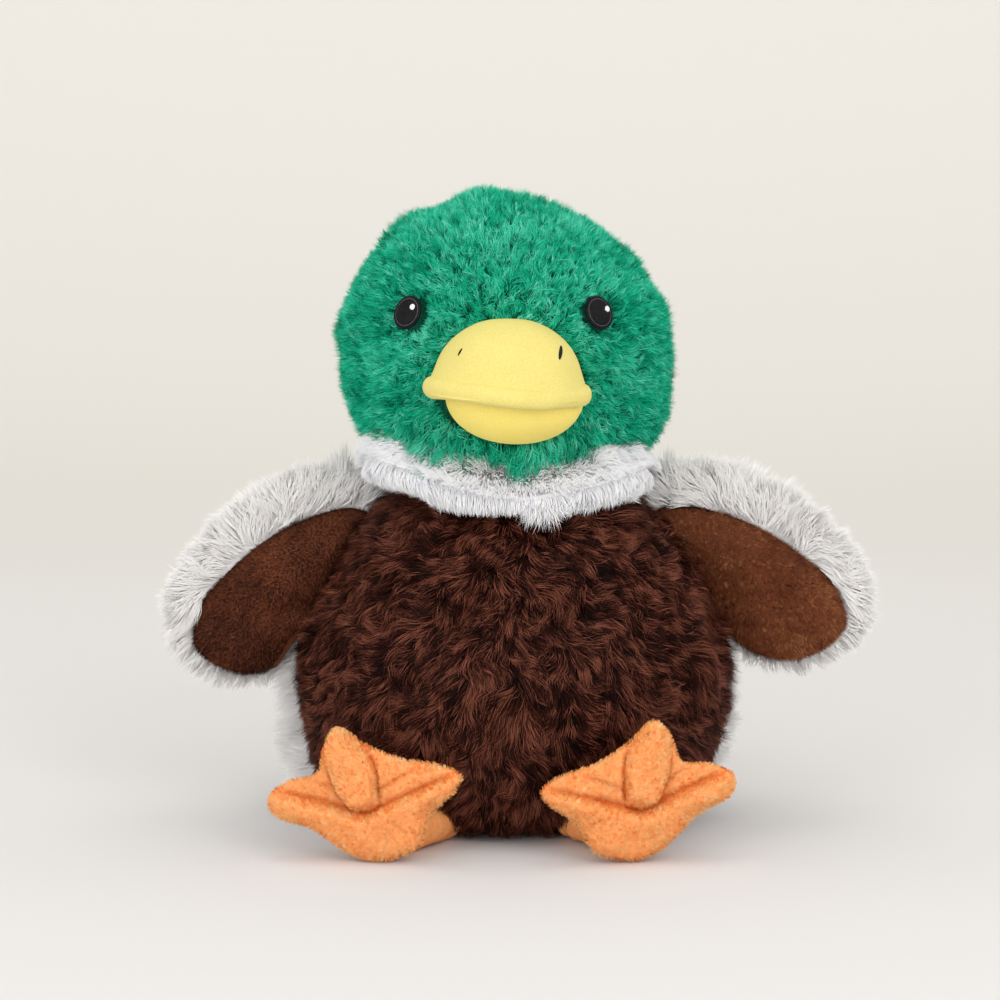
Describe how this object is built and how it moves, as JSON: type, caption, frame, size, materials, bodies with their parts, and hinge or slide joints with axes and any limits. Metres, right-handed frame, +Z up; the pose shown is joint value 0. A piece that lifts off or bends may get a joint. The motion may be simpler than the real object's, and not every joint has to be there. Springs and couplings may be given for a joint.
{
  "type": "plush duck",
  "caption": "Seated plush duck with a curly green head, yellow bill, white collar, brown belly, grey back and wings, and orange webbed feet; head, wings, legs, feet and tail move.",
  "frame": {"origin": "middle of the flat seat patch under the body, on the surface the toy sits on", "axes": "+Z up; the duck faces -Y; +X towards its left wing, on the right of the picture"},
  "size_m": [0.3212, 0.2228, 0.2765],
  "materials": {
    "green_pile": "curly pile",
    "dark_brown_pile": "long pile",
    "grey_pile": "long pile",
    "white_pile": "pile",
    "brown_minky": "short pile",
    "orange_minky": "short pile",
    "yellow_velboa": "smooth short pile",
    "dark_yellow_velboa": "smooth short pile",
    "black_thread": "satin stitch",
    "white_thread": "satin stitch",
    "fibre_filling": "loose fibre",
    "calico": "woven bag of pellets"
  },
  "bodies": {
    "torso": {"body_front_cover": "dark_brown_pile", "body_back_cover": "grey_pile", "body_filling": "fibre_filling", "weight_bag": "calico", "neck_collar": "white_pile"},
    "neck": {"neck_filling": "fibre_filling"},
    "head": {"head_front_cover": "green_pile", "head_back_cover": "green_pile", "head_filling": "fibre_filling", "eye_left": "black_thread", "eye_right": "black_thread", "eye_highlight_left": "white_thread", "eye_highlight_right": "white_thread", "bill_upper": "yellow_velboa", "bill_lip": "yellow_velboa", "bill_lower": "dark_yellow_velboa", "nostril_stitch_left": "black_thread", "nostril_stitch_right": "black_thread"},
    "wing_left": {"wing_left_front_panel": "brown_minky", "wing_left_back_panel": "grey_pile"},
    "wing_right": {"wing_right_front_panel": "brown_minky", "wing_right_back_panel": "grey_pile"},
    "leg_left": {"leg_left": "orange_minky"},
    "leg_right": {"leg_right": "orange_minky"},
    "foot_left": {"foot_left_front_panel": "orange_minky", "foot_left_back_panel": "orange_minky"},
    "foot_right": {"foot_right_front_panel": "orange_minky", "foot_right_back_panel": "orange_minky"},
    "tail": {"tail": "grey_pile"}
  },
  "joints": [
    {"name": "head_turn", "type": "hinge", "parent": "torso", "child": "neck", "pos_m": [0, 0, 0.158], "axis": [0, 0, 1], "range_deg": [-25, 25]},
    {"name": "head_nod", "type": "hinge", "parent": "neck", "child": "head", "pos_m": [0, 0, 0.158], "axis": [1, 0, 0], "range_deg": [-6, 6]},
    {"name": "wing_left_swing", "type": "hinge", "parent": "torso", "child": "wing_left", "pos_m": [-0.0802, 0.006, 0.11342], "axis": [-0.5626, 0, -0.8267], "range_deg": [-30, 35]},
    {"name": "wing_right_swing", "type": "hinge", "parent": "torso", "child": "wing_right", "pos_m": [0.0802, 0.006, 0.11342], "axis": [-0.5626, 0, 0.8267], "range_deg": [-30, 35]},
    {"name": "leg_left_swing", "type": "hinge", "parent": "torso", "child": "leg_left", "pos_m": [-0.027, -0.05482, 0.009], "axis": [0, 0, -1], "range_deg": [-10, 20]},
    {"name": "leg_right_swing", "type": "hinge", "parent": "torso", "child": "leg_right", "pos_m": [0.027, -0.05482, 0.009], "axis": [0, 0, 1], "range_deg": [-10, 20]},
    {"name": "foot_left_rock", "type": "hinge", "parent": "leg_left", "child": "foot_left", "pos_m": [-0.05053, -0.08814, 0.00853], "axis": [0.9781, -0.2079, 0], "range_deg": [-15, 15]},
    {"name": "foot_right_rock", "type": "hinge", "parent": "leg_right", "child": "foot_right", "pos_m": [0.04875, -0.08845, 0.00903], "axis": [0.9781, 0.2079, 0], "range_deg": [-15, 15]},
    {"name": "tail_rock", "type": "hinge", "parent": "torso", "child": "tail", "pos_m": [0, 0.08277, 0.042], "axis": [1, 0, 0], "range_deg": [-15, 15]}
  ]
}
